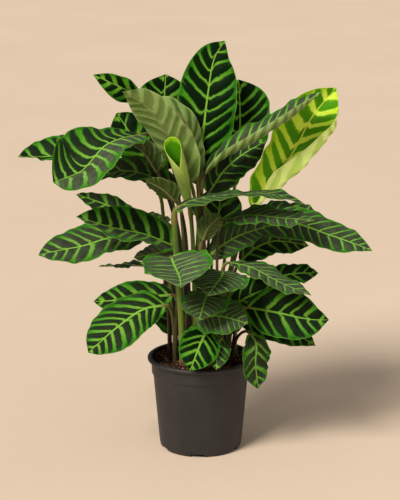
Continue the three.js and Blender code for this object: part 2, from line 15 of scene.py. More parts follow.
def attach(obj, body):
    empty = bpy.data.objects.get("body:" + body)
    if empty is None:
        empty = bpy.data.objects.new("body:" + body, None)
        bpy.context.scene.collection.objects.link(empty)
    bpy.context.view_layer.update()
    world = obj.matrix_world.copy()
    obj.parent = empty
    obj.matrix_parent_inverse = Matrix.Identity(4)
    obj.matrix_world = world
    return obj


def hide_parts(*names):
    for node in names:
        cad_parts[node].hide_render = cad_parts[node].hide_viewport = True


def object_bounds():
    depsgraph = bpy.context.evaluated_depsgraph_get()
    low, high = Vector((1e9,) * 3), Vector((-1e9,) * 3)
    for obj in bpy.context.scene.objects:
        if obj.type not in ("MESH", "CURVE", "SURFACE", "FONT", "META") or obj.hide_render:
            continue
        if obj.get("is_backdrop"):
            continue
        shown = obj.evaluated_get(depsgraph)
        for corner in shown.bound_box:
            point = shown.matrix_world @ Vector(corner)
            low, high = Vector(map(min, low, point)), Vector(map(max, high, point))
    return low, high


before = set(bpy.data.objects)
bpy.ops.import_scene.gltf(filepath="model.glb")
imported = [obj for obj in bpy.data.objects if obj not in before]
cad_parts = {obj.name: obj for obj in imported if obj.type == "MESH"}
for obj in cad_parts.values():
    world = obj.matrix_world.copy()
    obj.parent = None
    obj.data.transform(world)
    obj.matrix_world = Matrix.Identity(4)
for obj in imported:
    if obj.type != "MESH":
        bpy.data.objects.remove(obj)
cad_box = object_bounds()

MM = 0.001

# ------------------------ camera and light

EYE_DISTANCE = 2670
EYE_HEIGHT = 1007
EYE = (-1.2, -EYE_DISTANCE, EYE_HEIGHT)
PITCH_DOWN = 13.6
LENS = 112.3
SENSOR = 36
CAMERA_REACH = 100_000
FLOOR_REACH = 30_000
SUN = dict(kind="SUN", energy=3.8, color=(1.0, 0.95, 0.87), at=(-1600, -1900, 2600), aim=(0, 0, 350))
SUN_SPREAD = 24
FILL = dict(kind="AREA", energy=5, color=(1.0, 0.96, 0.92), at=(1900, -1600, 1500), aim=(0, 0, 400))
FILL_SIZE = 1800
SKY_STRENGTH = 0.31
SKY_COLOUR = (1.0, 0.95, 0.89, 1)

# ------------------------ sizes of the pot and the soil

POT_HEIGHT = 168
RIM_RADIUS = 95
RIM_FOOT = POT_HEIGHT - 7
COLLAR_RADIUS = 87.5
COLLAR_FOOT = RIM_FOOT - 23
BODY_TOP_RADIUS = 85
BODY_FOOT_RADIUS = 74.5
FOOT_RADIUS = 70
FOOT_HEIGHT = 14
WALL = 2
FLOOR_LIFT = 6
FLOOR_TOP = FLOOR_LIFT + 2.5
PAD_RADIUS = 24
CORNER = 1.1
NEAR_AXIS = 0.05
POT_SIDES = 180
NOTCH = (30, 25, 12)
NOTCH_COUNT = 6
NOTCH_TURN = -95
DRAIN_RADIUS = 5
DRAIN_CIRCLE = 48
DRAIN_SIDES = 32
DRILL_LENGTH = 40

SOIL_TOP = POT_HEIGHT - 6
SOIL_RADIUS = 84.8
SOIL_GAP = 0.35
SOIL_SIDES = 150
SOIL_RINGS = 44
LUMP_HEIGHT = 3
CLOD_HEIGHT = 2.4
CHIP_COUNT = 1500
CHIP_REACH = 83
CHIP_SIZES = (0.7, 4.6)

# ------------------------ sizes of the leaves

ROWS = 84
ROW_POWER = 1.08
COLUMNS = 12
COLUMN_POWER = 0.85
BEND_STEPS = 24
BLADE_THICKNESS = 0.8
EDGE_THICKNESS = 0.45
TIP_HALF_WIDTH = 0.8
CREASE_SHARE = 0.2
SCALLOP = 0.028
QUILT = 0.9
GROOVE_DEPTH = 0.9
GROOVE_WIDTH = 2.2
WAVE_SHIFT = 0.3
FEWEST_BANDS = 5
BAND_WANDER = 0.2
BAND_SHIFT = 0.23
SHARP_ANGLE = 50

SHEATH_RISE = 4
ROOT_DEPTH = 18
UPRIGHT_FOOT = 16
ARRIVAL = 14
STALK_SIDES = 14
STALK_ROWS = 36
SWELLING = 0.8
SWELLING_AT = 0.945
SWELLING_REACH = 0.03
SHEATH_CLEFT = 0.16
RIB_RADIUS = 2.15
RIB_TIP_RADIUS = 0.35

ROLL_ROWS = 60
ROLL_COLUMNS = 61
ROLL_WALL = 0.55
ROLL_FOOT_RADIUS = 3.6
ROLL_GROWTH = 10.9
ROLL_TURN = 1.12
ROLL_OVERLAP = 0.07
MOUTH_SLANT = 0.42
ROLL_TONE = 0.7

# The parts of the texture map that blades and stalks take (left, low, right, high), and their caps
BLADE_CHART = (0.01, 0.01, 0.88, 0.99)
STALK_CHART = (0.9, 0.01, 0.99, 0.99)
CAP_RADIUS = 0.004

# rib holds the midrib's points, as [across, up, depth] from the eye, and face which way the upper side
# looks, all along or from foot to tip. width is the greatest width, widest where it is and tip how
# blunt the leaf ends. left and right are a half's fold at the rib and its curl to the edge in degrees,
# at the foot and, with four numbers, at the tip; crease keeps the right half's turn for a stretch.
# wave, waves and phase are the height, count and start of the edge's waves, frill that of its ripples.
# root is the stalk's foot, via what it passes, rise and reach how far it runs straight at its ends, and
# stalk, sheath and sheathed its radii and how much of it is sheath. band is the pitch of the stripes,
# slope and arc their slant and its bend on the left and right, and stripe their width. grey is how far
# the blade turns grey-green, on its upper side a painted sheen where the face catches the sky, given
# per half where one half catches more light. tone is how light the leaf is, at random or set low or
# high as painted shade or painted light on leaves in shade or in the light, and tint how brown the stalk.
ORDINARY = dict(
    widest=0.44, tip=2.7, left=[8, -10], right=[8, -10], wave=3, waves=2.2, phase=0.1, frill=1.3,
    rise=0.45, reach=0.14, stalk=2.6, sheath=4.4, sheathed=0.6,
    band=24.5, slope=[0.68, 0.68], arc=[0.2, 0.2], grey=0.3,
)

LEAVES = dict(
    # The crown
    crown_tall=dict(
        rib=[[-2, 505, 30], [12, 635, 33], [24, 700, 42], [41, 728, 52]],
        face=[0, -1, 0.1], width=104, root=[2, 18], tip=3, grey=0, tone=0.5, stripe=0.35, stalk=3.2,
        sheath=5.5, sheathed=0.9,
    ),
    crown_behind_right=dict(
        rib=[[62, 500, 68], [68, 577, 82], [67, 630, 94], [65, 662, 100]],
        face=[-0.1, -1, 0.1], width=108, root=[33, 43], widest=0.62, tip=3.5, grey=0, tone=0.9, stripe=0.5,
    ),
    crown_behind_left=dict(
        rib=[[-58, 505, 70], [-64, 590, 84], [-60, 671, 100]],
        face=[0.1, -1, 0.2], width=98, root=[-16, 34], widest=0.6, tip=4, grey=0, tone=0.4, stripe=0.5,
    ),
    crown_long_right=dict(
        rib=[[6, 497, -16], [36, 528, -17], [78, 553, -14], [140, 592, -8], [207, 641, -4]],
        face=[-0.4, -0.35, 0.85], width=72, root=[15, -11], right=[-30, 150], left=[18, -20], reach=0.06,
        grey=0.6, tone=0.6, stripe=0.5, tint=0.95, band=20, stalk=3, sheathed=0.9,
    ),
    young_striped=dict(
        rib=[[92, 436, 26], [135, 497, 30], [166, 546, 38], [190, 594, 46], [232, 648, 54]],
        face=[0.1, -0.95, 0.3], width=124, root=[33, 22], right=[8, 176], left=[42, 0, 30, 0], widest=0.55,
        crease=[0.08, 0.93], tip=2.8, grey=0, tone=0.7, slope=[0.4, 1.0], band=31,
    ),
    crown_inner_right=dict(
        rib=[[14, 462, 40], [40, 502, 44], [68, 528, 47], [114, 556, 53]],
        face=[-0.3, -0.7, 0.6], width=80, root=[15, 36], sheath=5.5, stalk=3.2, sheathed=1, tint=0.1,
    ),
    crown_arched=dict(
        rib=[
            [-4, 478, -12], [-16, 536, -12], [-24, 584, -10], [-58, 616, -8], [-116, 640, -8],
            [-184, 670, -10],
        ],
        face=[[-0.6, 0.8, 0.1], [-0.7, 0.7, 0], [-0.5, 0.6, -0.6], [-0.3, -0.6, -0.6], [0, -0.9, 0.3]],
        width=66, root=[-11, 4], grey=0, tone=0.6, tint=0.1, right=[55, -10, 10, -10],
        left=[8, -10, 20, -10], tip=4.2, widest=0.36, sheath=7.5, stalk=4.5, sheathed=1, stripe=1.2,
    ),
    crown_underside=dict(
        rib=[[-17, 482, -22], [-31, 524, -32], [-57, 566, -46], [-97, 618, -62], [-134, 641, -72]],
        face=[0.25, 0.9, 0.35], width=78, root=[5, -17], right=[20, -10], grey=0.6, tone=0.7, tint=0.3,
        tip=3.2, widest=0.5, frill=0.7, stripe=0.2,
    ),
    crown_left_back=dict(
        rib=[[-70, 500, 41], [-119, 565, 56], [-145, 604, 64]],
        face=[0.2, -0.9, 0.4], width=80, root=[-25, 23], tip=3.2, widest=0.55, grey=0.05, tone=0.5,
        stripe=0.5,
    ),
    # The left side, upper half
    left_great=dict(
        rib=[
            [-104, 567, -10], [-140, 559, -42], [-168, 545, -66], [-191, 519, -84], [-208, 502, -92],
            [-257, 482, -100],
        ],
        face=[[0, -0.6, 0.8], [-0.05, -0.75, 0.65], [-0.15, -0.95, 0.3], [-0.15, -0.95, 0.3]], width=136,
        root=[-26, 12], right=[-28, 10, 0, 30], left=[32, -5, 60, -10], widest=0.6, reach=0.25, tip=5,
        grey=[0.75, 0.15], tone=0.6, stripe=0.6, tint=0.3, slope=[0.1, 0.55], arc=[0.1, -0.7], band=20,
    ),
    left_far=dict(
        rib=[[-170, 528, 22], [-230, 528, 32], [-317, 527, 38]],
        face=[-0.1, -0.8, 0.6], width=80, root=[-45, 36], left=[60, -5],
        via=[[-65, 417, 16], [-73, 464, 18], [-110, 505, 20]], tip=3.2, grey=0.05, tone=0.6, stripe=0.5,
        tint=0.3, stalk=3.2,
    ),
    left_small_underside=dict(
        rib=[[-76, 499, -34], [-91, 525, -36], [-103, 539, -32], [-117, 546, -20]],
        face=[0.1, 0.95, 0.3], width=51, root=[-20, -20], rise=0.55, widest=0.5, tip=3.2, grey=0, tone=-0.7,
        tint=0.9, wave=1.5, frill=0.5, right=[55, 0], stripe=-0.6,
    ),
    left_shaded=dict(
        rib=[[-44, 452, -8], [-66, 480, -12], [-100, 497, -16], [-140, 502, -20], [-182, 486, -18]],
        face=[0, -0.75, 0.65], width=62, root=[-20, -8], left=[40, -10], grey=0.5, tone=0.4, stripe=0.4,
        tint=0.5,
    ),
    centre_underside=dict(
        rib=[[-44, 449, -46], [-64, 469, -57], [-97, 487, -66]],
        face=[0.1, 0.7, 0.7], width=56, root=[-21, -31], tone=-0.3, tint=0.9, wave=1, frill=0.4,
        right=[15, 0], stripe=-1.2,
    ),
    left_long=dict(
        rib=[[-45, 366, -30], [-95, 388, -48], [-150, 400, -64], [-218, 421, -76]],
        face=[0, -0.8, 0.6], width=88, root=[-45, -23], left=[50, -10], reach=0.08, grey=[0.7, 0.1],
        tone=0.5, stripe=0.9, tint=0.7, slope=[0.6, 0.35],
    ),
    left_blunt=dict(
        rib=[[-100, 383, 10], [-155, 384, 3], [-205, 369, -5], [-250, 360, -10], [-286, 352, -14]],
        face=[0, -0.7, 0.7], width=80, root=[-56, 46], left=[22, -10], tip=3.6, grey=[0.55, 0.45], tone=0.4,
        stripe=0.6, tint=0.9, slope=[0.35, 1.0],
    ),
    left_behind=dict(
        rib=[[-100, 408, 42], [-160, 440, 56], [-217, 461, 66]],
        face=[0, -0.7, 0.7], width=44, root=[-47, 56], tone=0.4, stripe=0.4, tint=0.9,
    ),
    left_flat=dict(
        rib=[[-60, 333, 62], [-120, 334, 72], [-180, 331, 78]],
        face=[0, 0.08, 1], width=50, root=[-37, 66], grey=0.5, tone=0.5, stripe=0.4, tint=0.9,
    ),
    left_curled=dict(
        rib=[[-44, 362, -17], [-80, 354, -21], [-118, 347, -24]],
        face=[0, -0.75, 0.6], width=36, root=[-33, -4], grey=1.5, tone=0.2, stripe=-1.5, tint=0.8, stalk=2.2,
        sheathed=0.5,
    ),
    # The left side, lower half
    left_low_back=dict(
        rib=[[-50, 279, -10], [-110, 275, -14], [-165, 268, -18], [-190, 267, -18]],
        face=[0, -0.85, 0.5], width=60, root=[-46, 25], grey=0.12, tone=0.5, stripe=0.8, tint=0.8,
    ),
    left_low=dict(
        rib=[[-64, 260, -44], [-101, 253, -58], [-148, 220, -78], [-201, 172, -100]],
        face=[-0.3, -0.8, 0.5], width=86, root=[-45, 6], widest=0.54, tip=3.2, grey=0.15, tone=0.45,
        stripe=0.9, tint=0.1, sheath=6, stalk=3, sheathed=0.9, slope=[0.4, 0.9], band=18,
    ),
    # Leaves that point to the front
    front_great=dict(
        rib=[[-53, 349, -59], [-47, 333, -97], [-38, 313, -146], [-35, 293, -198]],
        face=[-0.14, -0.35, 0.95], width=124, root=[-31, -23], right=[26, 0], left=[16, 0], reach=0.08,
        grey=1, tone=0.7, stripe=0.3, tint=0.75, band=17, tip=5.5, widest=0.48, slope=[0.3, 0.3],
    ),
    front_middle=dict(
        rib=[[40, 322, -46], [36, 311, -86], [26, 297, -128], [13, 278, -160]],
        face=[0, -0.35, 0.95], width=102, root=[26, -33], grey=0.7, tone=0.8, stripe=0.15, tint=0.6, band=15,
    ),
    front_low=dict(
        rib=[[12, 282, -40], [6, 264, -92], [-3, 232, -136]],
        face=[0, -0.4, 0.9], width=84, root=[3, -43], grey=0.85, tone=1.2, stripe=0.15, tint=0.7, band=14,
    ),
    front_low_right=dict(
        rib=[[-6, 238, -52], [32, 240, -80], [84, 226, -112]],
        face=[0, -0.7, 0.7], width=78, root=[15, -48], grey=0.75, tone=0.9, stripe=0.2, tint=0.6, band=14,
    ),
    front_hanging=dict(
        rib=[[12, 216, -64], [0, 190, -92], [-19, 138, -116]],
        face=[0, -0.9, 0.3], width=70, root=[6, -54], grey=0, tone=0.35, stripe=0.8, tint=0.3,
    ),
    front_hanging_right=dict(
        rib=[[38, 200, -56], [30, 180, -84], [28, 140, -106]],
        face=[0.1, -0.8, 0.5], width=46, root=[30, -48], grey=0.5, tone=0.3, stripe=0.5, tint=0.5,
    ),
    centre_small=dict(
        rib=[[3, 378, -50], [14, 404, -54], [36, 424, -50]],
        face=[-0.2, 0.9, 0.4], width=42, root=[5, -28], right=[50, 0], tone=-0.2, tint=0.6, wave=1,
        frill=0.4, stripe=-1.2,
    ),
    # The right side, upper half
    right_arched=dict(
        rib=[
            [-44, 434, -62], [-20, 449, -66], [20, 458, -70], [70, 461, -74], [125, 461, -77],
            [185, 442, -80],
        ],
        face=[[0.15, -0.3, 0.92], [0, 0, 1], [0, 0.04, 1], [0, 0.04, 1]], width=96, root=[-32, -41],
        right=[4, 0, 5, -5], reach=0.04, left=[-14, 0, 12, -5], stalk=5, sheath=6.5, sheathed=1, grey=0.6,
        tone=0.7, stripe=0.3, tint=0.35, band=20, widest=0.28, slope=[1.0, 0.6],
    ),
    right_upper=dict(
        rib=[[40, 414, -44], [86, 424, -60], [139, 419, -76], [200, 414, -90]],
        face=[0, -0.28, 0.95], width=66, root=[32, -8], reach=0.08, grey=0.75, tone=0.4, stripe=0.1,
        tint=0.6, band=18, slope=[1.0, 0.2],
    ),
    right_behind=dict(
        rib=[[90, 424, 34], [150, 431, 44], [206, 428, 48]],
        face=[0, -0.5, 0.85], width=52, root=[46, 42], grey=0.5, tone=0.4, stripe=0.4, tint=0.8,
    ),
    right_longest=dict(
        rib=[[92, 398, 4], [160, 409, -4], [224, 389, -20], [284, 367, -34], [302, 359, -40]],
        face=[0.1, -0.6, 0.8], width=74, root=[43, 16], grey=0.5, tone=0.7, stripe=0.2, tint=0.6, band=20,
        slope=[1.0, 0.45],
    ),
    right_inner=dict(
        rib=[[13, 350, -5], [42, 372, -11], [70, 388, -12], [118, 404, -12]],
        face=[-0.2, -0.85, 0.5], width=54, root=[21, -1], grey=0.7, tone=0.85, stripe=0.1, tint=0.7, band=16,
    ),
    right_middle=dict(
        rib=[[70, 340, 24], [98, 365, 28], [130, 377, 32], [190, 369, 40]],
        face=[0, -0.7, 0.7], width=56, root=[52, 28], grey=[0.5, 0.15], tone=0.5, stripe=0.4, tint=0.6,
    ),
    # The right side, lower half
    right_broad=dict(
        rib=[[50, 338, -36], [88, 330, -54], [140, 302, -80], [196, 278, -98]],
        face=[0.1, -0.15, 1], width=66, root=[37, -22], grey=0.8, tone=0.6, stripe=0.25, tint=0.5, band=18,
        slope=[1.0, 0.3],
    ),
    right_low_behind=dict(
        rib=[[106, 300, 44], [158, 317, 54], [208, 319, 60]],
        face=[0, -0.6, 0.8], width=48, root=[60, 40], tip=3.2, grey=0.1, tone=0.5, stripe=0.5, tint=0.6,
    ),
    right_shaded=dict(
        rib=[[50, 252, -14], [85, 276, -14], [132, 293, -10], [170, 292, -6]],
        face=[0, -0.8, 0.6], width=62, root=[46, 4], grey=0.1, tone=0.75, stripe=0.2, tint=0.6,
    ),
    right_low=dict(
        rib=[[82, 256, -48], [134, 247, -64], [195, 234, -80], [228, 233, -86]],
        face=[0.1, -0.85, 0.5], width=90, root=[49, -8], left=[36, -10], grey=0.05, tone=0, stripe=0.6,
        tint=0.4,
    ),
    right_low_under=dict(
        rib=[[66, 238, 0], [125, 220, -16], [175, 203, -28], [205, 185, -34]],
        face=[0.1, -0.75, 0.65], width=56, root=[62, 14], grey=0.1, tone=0.4, stripe=0.5, tint=0.6,
    ),
    right_hanging=dict(
        rib=[[88, 208, -62], [99, 188, -74], [98, 155, -80], [103, 104, -80]],
        face=[0.5, -0.8, 0.2], width=56, root=[57, 0], grey=0.35, tone=0.2, stripe=0.9, tint=0.8,
    ),
    # Within the plant and on its far side
    inner_right=dict(
        rib=[[24, 385, 52], [32, 430, 56], [36, 480, 60]],
        face=[-0.1, -1, 0.2], width=84, root=[16, 15], grey=0.2, tone=0.1, stripe=0.5, tint=0.6,
    ),
    back_middle=dict(
        rib=[[20, 420, 70], [25, 440, 130], [30, 400, 210]],
        face=[0, 0.3, 1], width=96, root=[2, 67],
    ),
    back_left=dict(
        rib=[[-60, 410, 70], [-110, 425, 120], [-150, 390, 180]],
        face=[0, 0.2, 1], width=84, root=[-22, 52],
    ),
    back_right=dict(
        rib=[[80, 380, 70], [130, 395, 120], [180, 370, 170]],
        face=[0, 0.2, 1], width=84, root=[34, 55],
    ),
    back_low_left=dict(
        rib=[[-34, 205, 74], [-46, 250, 84], [-56, 310, 98]],
        face=[0.1, -1, 0.3], width=84, root=[-26, 66], grey=0.2, tone=0.1, stripe=0.4, tint=0.8,
    ),
    back_low_right=dict(
        rib=[[40, 205, 66], [46, 250, 74], [52, 304, 90]],
        face=[0, -1, 0.3], width=80, root=[46, 60], grey=0.2, tone=0.1, stripe=0.4, tint=0.8,
    ),
    back_upper=dict(
        rib=[[-10, 520, 80], [-20, 560, 115], [-30, 600, 140]],
        face=[0, -0.5, 0.8], width=80, root=[-4, 36],
    ),
    back_low=dict(
        rib=[[4, 240, 82], [9, 245, 117], [14, 205, 162]],
        face=[0, 0.4, 0.9], width=64, root=[14, 68],
    ),
)

FURLED = dict(
    rib=[[-20, 440, -16], [-26, 468, -28], [-38, 515, -56], [-52, 556, -68]],
    face=[0, -1, 0], root=[-9, -31], stalk=3.6, sheath=5.5, sheathed=0.9,
)

SEED = 7
random = np.random.default_rng(SEED)


# ------------------------ lines


def seen(points):
    """Points given as they line up from the eye, as points of the frame."""
    across, up, depth = np.array(points, float).T
    scale = 1 + depth / EYE_DISTANCE
    return np.stack([across * scale, depth, EYE_HEIGHT + (up - EYE_HEIGHT) * scale], axis=1)


def unit(vectors):
    return vectors / np.linalg.norm(vectors, axis=-1, keepdims=True)


def circle(count):
    angle = 2 * math.pi * np.arange(count) / count
    return np.stack([np.cos(angle), np.sin(angle)], axis=-1)


def between(t, stops, rows):
    """At t, the rows that are given at stops."""
    return np.stack([np.interp(t, stops, column) for column in rows.T], axis=-1)


class Line:
    """A curve read by its share of the length, from 0 to 1."""

    def __init__(self, samples):
        self.points = np.array(samples)
        steps = np.linalg.norm(np.diff(self.points, axis=0), axis=1)
        self.share = np.concatenate([[0], np.cumsum(steps)])
        self.length = self.share[-1]
        self.share /= self.length

    def at(self, t):
        return between(t, self.share, self.points)

    def tangent(self, t, step=0.006):
        before, after = np.clip(t - step, 0, 1), np.clip(t + step, 0, 1)
        return unit(self.at(after) - self.at(before))


def through(points, steps=60):
    """The centripetal spline through points."""
    points = np.array(points, float)
    points = np.vstack([2 * points[0] - points[1], points, 2 * points[-1] - points[-2]])
    samples = []
    for k in range(1, len(points) - 2):
        p0, p1, p2, p3 = points[k - 1 : k + 3]
        gap0, gap1, gap2 = (math.sqrt(np.linalg.norm(b - a)) for a, b in ((p0, p1), (p1, p2), (p2, p3)))
        start = ((p1 - p0) / gap0 - (p2 - p0) / (gap0 + gap1) + (p2 - p1) / gap1) * gap1
        end = ((p2 - p1) / gap1 - (p3 - p1) / (gap1 + gap2) + (p3 - p2) / gap2) * gap1
        t = np.linspace(0, 1, steps, endpoint=False)[:, None]
        square = -3 * p1 + 3 * p2 - 2 * start - end
        cube = 2 * p1 - 2 * p2 + start + end
        samples.append(p1 + start * t + square * t**2 + cube * t**3)
    return Line(np.vstack([*samples, points[-2]]))


def bezier(a, b, c, d, steps=160):
    t = np.linspace(0, 1, steps)[:, None]
    return Line((1 - t) ** 3 * a + 3 * (1 - t) ** 2 * t * b + 3 * (1 - t) * t**2 * c + t**3 * d)


def smoothstep(t):
    t = np.clip(t, 0, 1)
    return t * t * (3 - 2 * t)


# ------------------------ meshes


class Skin:
    """A mesh in the making, in rows of points, with what its materials read at each point.

    A blade's tint is its stripes' width and its out the distance from the rib; a stalk's tint is how
    brown it is, and its across the way around."""

    VALUES = ("band", "across", "side", "out", "along", "tone", "tint", "grey")

    def __init__(self):
        self.points, self.faces, self.slots, self.map = [], [], [], []
        self.values = {key: [] for key in self.VALUES}
        self.count = 0

    def add(self, rows, slot_of, chart, **values):
        """Closed rings of points, with a cap at both ends. slot_of gives the material of each point
        in a ring, and chart is the part of the texture map that the rings take."""
        length, count = rows.shape[:2]
        row, spot = (x.reshape(-1, 1) for x in np.mgrid[0 : length - 1, 0:count])
        row_of, spot_of = row + [0, 0, 1, 1], spot + [0, 1, 1, 0]
        self.faces += (self.count + row_of * count + spot_of % count).tolist()
        slots = np.broadcast_to(slot_of, count)
        self.slots += slots[spot[:, 0]].tolist()
        left, low, right, high = chart
        u = left + (right - left) * spot_of / count
        v = low + (high - low) * row_of / (length - 1)
        self.map.append(np.stack([u, v], axis=-1).reshape(-1, 2))
        disc = [left, low] + CAP_RADIUS * circle(count)
        for start, step in ((0, -1), ((length - 1) * count, 1)):
            ring = self.count + start + np.arange(count)[::step]
            self.faces.append(ring.tolist())
            self.slots.append(int(slots[0]))
            self.map.append(disc)
        for key in self.VALUES:
            self.values[key].append(np.broadcast_to(values.get(key, 0.0), (length, count)).reshape(-1))
        self.points.append(rows.reshape(-1, 3))
        self.count += length * count

    def make(self, name, materials, slot, *nodes):
        mesh = bpy.data.meshes.new(name)
        mesh.from_pydata((np.vstack(self.points) * MM).tolist(), [], self.faces)
        mesh.polygons.foreach_set("material_index", np.array(self.slots, np.int32))
        mesh.polygons.foreach_set("use_smooth", np.ones(len(self.faces), bool))
        for key in self.VALUES:
            write_value(mesh, key, self.values[key])
        chart = np.concatenate(self.map).astype(np.float32).reshape(-1)
        mesh.uv_layers.new(name="OFBake").uv.foreach_set("vector", chart)
        for material in materials:
            mesh.materials.append(material)
        mesh.update()
        mesh.set_sharp_from_angle(angle=math.radians(SHARP_ANGLE))
        place(name, mesh, slot, *nodes)


def write_value(mesh, name, values):
    values = np.concatenate(values).astype(np.float32)
    mesh.attributes.new(name, "FLOAT", "POINT").data.foreach_set("value", values)


def add_object(name, data):
    made = bpy.data.objects.new(name, data)
    bpy.context.scene.collection.objects.link(made)
    return made


def place(name, mesh, slot, *nodes):
    made = add_object(name, mesh)
    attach(made, "root")
    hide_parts(*nodes)


# ------------------------ materials


def colour(red, green, blue):
    """An sRGB colour of 0 to 255 as Blender's linear one."""
    linear = [c / 3294.6 if c <= 10.31 else ((c / 255 + 0.055) / 1.055) ** 2.4 for c in (red, green, blue)]
    return (*linear, 1.0)


class Wire:
    """What a material works out at each point: a colour, or a number that takes +, - and *."""

    def __init__(self, graph, socket):
        self.graph, self.socket = graph, socket

    def __add__(self, other):
        return self.graph.math("ADD", self, other)

    def __sub__(self, other):
        return self.graph.math("SUBTRACT", self, other)

    def __rsub__(self, other):
        return self.graph.math("SUBTRACT", other, self)

    def __mul__(self, other):
        return self.graph.math("MULTIPLY", self, other)

    __radd__, __rmul__ = __add__, __mul__

    def ramp(self, low, high):
        """0 below low and 1 above high, with a soft step between; low may be the greater."""
        inputs = {"Value": self, "From Min": low, "From Max": high}
        return self.graph.node("ShaderNodeMapRange", 0, inputs, interpolation_type="SMOOTHSTEP")


class Graph:
    """One material, whose nodes are joined step by step."""

    def __init__(self, name, **shader):
        self.material = bpy.data.materials.new(name)
        self.material.use_nodes = True
        self.tree = self.material.node_tree
        self.shader = self.tree.nodes["Principled BSDF"]
        for key, value in shader.items():
            self.set(self.shader, {key.replace("_", " ").title().replace("Ior", "IOR"): value})

    def set(self, node, inputs):
        for key, value in inputs.items():
            if isinstance(value, Wire):
                self.tree.links.new(value.socket, node.inputs[key])
            else:
                node.inputs[key].default_value = value

    def node(self, kind, output, inputs, **settings):
        made = self.tree.nodes.new(kind)
        for key, value in settings.items():
            setattr(made, key, value)
        self.set(made, inputs)
        return Wire(self, made.outputs[output])

    def math(self, operation, *values):
        return self.node("ShaderNodeMath", 0, dict(enumerate(values)), operation=operation)

    def mix(self, share, a, b):
        return self.node("ShaderNodeMix", 2, {0: share, 6: a, 7: b}, data_type="RGBA")

    def brighten(self, share, base):
        return self.node("ShaderNodeHueSaturation", 0, {"Value": share, "Color": base})

    def value(self, name):
        """What the mesh says at the point, by a name in Skin.VALUES."""
        return self.node("ShaderNodeAttribute", "Fac", {}, attribute_name=name)

    def point(self, x, y, z=0.0):
        return self.node("ShaderNodeCombineXYZ", 0, {0: x, 1: y, 2: z})

    def noise(self, scale, detail=2.0, roughness=0.5, at=None):
        """Clouds of 0 to 1, over the object in metres or over other points."""
        at = at or self.node("ShaderNodeTexCoord", "Object", {})
        inputs = {"Vector": at, "Scale": scale, "Detail": detail, "Roughness": roughness}
        return self.node("ShaderNodeTexNoise", "Fac", inputs)

    def chance(self, seed):
        return self.node("ShaderNodeTexWhiteNoise", "Value", {"W": seed}, noise_dimensions="1D")

    def finish(self, base, roughness, height, distance, strength):
        bump = self.node("ShaderNodeBump", 0, {"Height": height, "Distance": distance, "Strength": strength})
        self.set(self.shader, {"Base Color": base, "Roughness": roughness, "Normal": bump})
        return self.material


# What a blade's dark and light green turn to where its face catches the sky: a painted sheen
PAINTED_SHEEN = colour(84, 90, 74)
PAINTED_SHEEN_LIGHT = colour(122, 160, 84)


def banded(graph, width, spread, softness):
    """A calathea's pattern at a point: shares of 0 to 1 for stripe, halo (beside a stripe), wedge
    (short, between two stripes), margin and rib, with the fine veins and how far across the half
    blade the point lies. width and spread are half a stripe's width at the rib and its growth."""
    across, tone, tint = graph.value("across"), graph.value("tone"), graph.value("tint")
    wobble, grain = graph.noise(38, 3) - 0.5, graph.noise(240, 2) - 0.5
    # The stripes are counted along the rib; near is 0 in the middle of one and 0.5 between two
    band = graph.value("band") + wobble * 0.4
    whole = graph.math("FLOOR", band)
    part = band - whole
    near = 0.5 - graph.math("ABSOLUTE", part - 0.5)
    seed = graph.value("side") * 3.1 + tone * 57.0
    chance, other = graph.chance(whole + seed), graph.chance(whole + seed + 31.7)
    beyond = near - (width + tint * 0.1 + across * spread + grain * 0.12 + across.ramp(0.72, 1) * 0.1)
    # A wedge opens toward the edge, between some of the stripes
    opening = graph.math("MAXIMUM", across - (0.48 + chance * 0.42), 0.0) * 0.34
    within = opening - graph.math("ABSOLUTE", part - 0.5 - (other - 0.5) * 0.3)
    # The margin reaches further in where a stripe meets it
    last = 0.955 + (grain + (other - 0.5)) * 0.12 - near.ramp(0.36, 0.08) * 0.1
    rib_width = graph.math("POWER", 1.0 - graph.value("along"), 0.8) * 1.9 + 0.45
    return dict(
        stripe=beyond.ramp(softness, -softness),
        halo=beyond.ramp(0.13, -0.03),
        wedge=within.ramp(-0.01, 0.05) * chance.ramp(0.3, 0.5),
        margin=(across - last).ramp(-0.05, 0.03),
        rib=(graph.value("out") - rib_width).ramp(0.5, -0.5),
        veins=graph.math("PINGPONG", band * 9.0, 0.5),
        across=across,
    )


def toned(graph, base):
    # Brightness by tone: random, or set per leaf as painted shade or painted light
    return graph.brighten(0.8 + graph.value("tone") * 0.45, base)


def upper_side(name, deep, dark, light, pale, margin, rib, width=0.045, spread=0.06, **shader):
    graph = Graph(name, specular_ior_level=0.07, sheen_roughness=0.2, **shader)
    p = banded(graph, width, spread, softness=0.035)
    grey, across = graph.value("grey"), p["across"]
    ground = graph.mix(graph.noise(22, 2), deep, dark)
    # Painted sheen, as strong as grey says: the dark ground greys, and the stripes near the rib and the fine
    # veins pale
    ground = graph.mix(grey * (0.25 + graph.noise(50, 3) * 0.9), ground, PAINTED_SHEEN)
    lit = graph.mix(across.ramp(0.8, 0.1), light, pale)
    lit = graph.mix(grey * across.ramp(1, 0.2), lit, PAINTED_SHEEN_LIGHT)
    streaks = p["veins"].ramp(0.28, 0.46) * graph.noise(90, 3).ramp(0.42, 0.62)
    base = graph.mix(grey * 0.45 * streaks, ground, PAINTED_SHEEN_LIGHT)
    for share, over in (
        (p["halo"] * 0.6, margin),
        (p["stripe"], lit),
        (p["wedge"] * 0.5, light),
        (p["margin"] * 0.85, margin),
        (across.ramp(0.97, 0.99) * 0.6, pale),
        (p["rib"], rib),
        (p["veins"] * 0.06, margin),
    ):
        base = graph.mix(share, base, over)
    roughness = 0.46 + graph.noise(70) * 0.2
    height = p["veins"] * 0.8 + graph.noise(420, 2) + p["stripe"]
    return graph.finish(toned(graph, base), roughness, height, distance=0.0007, strength=0.7)


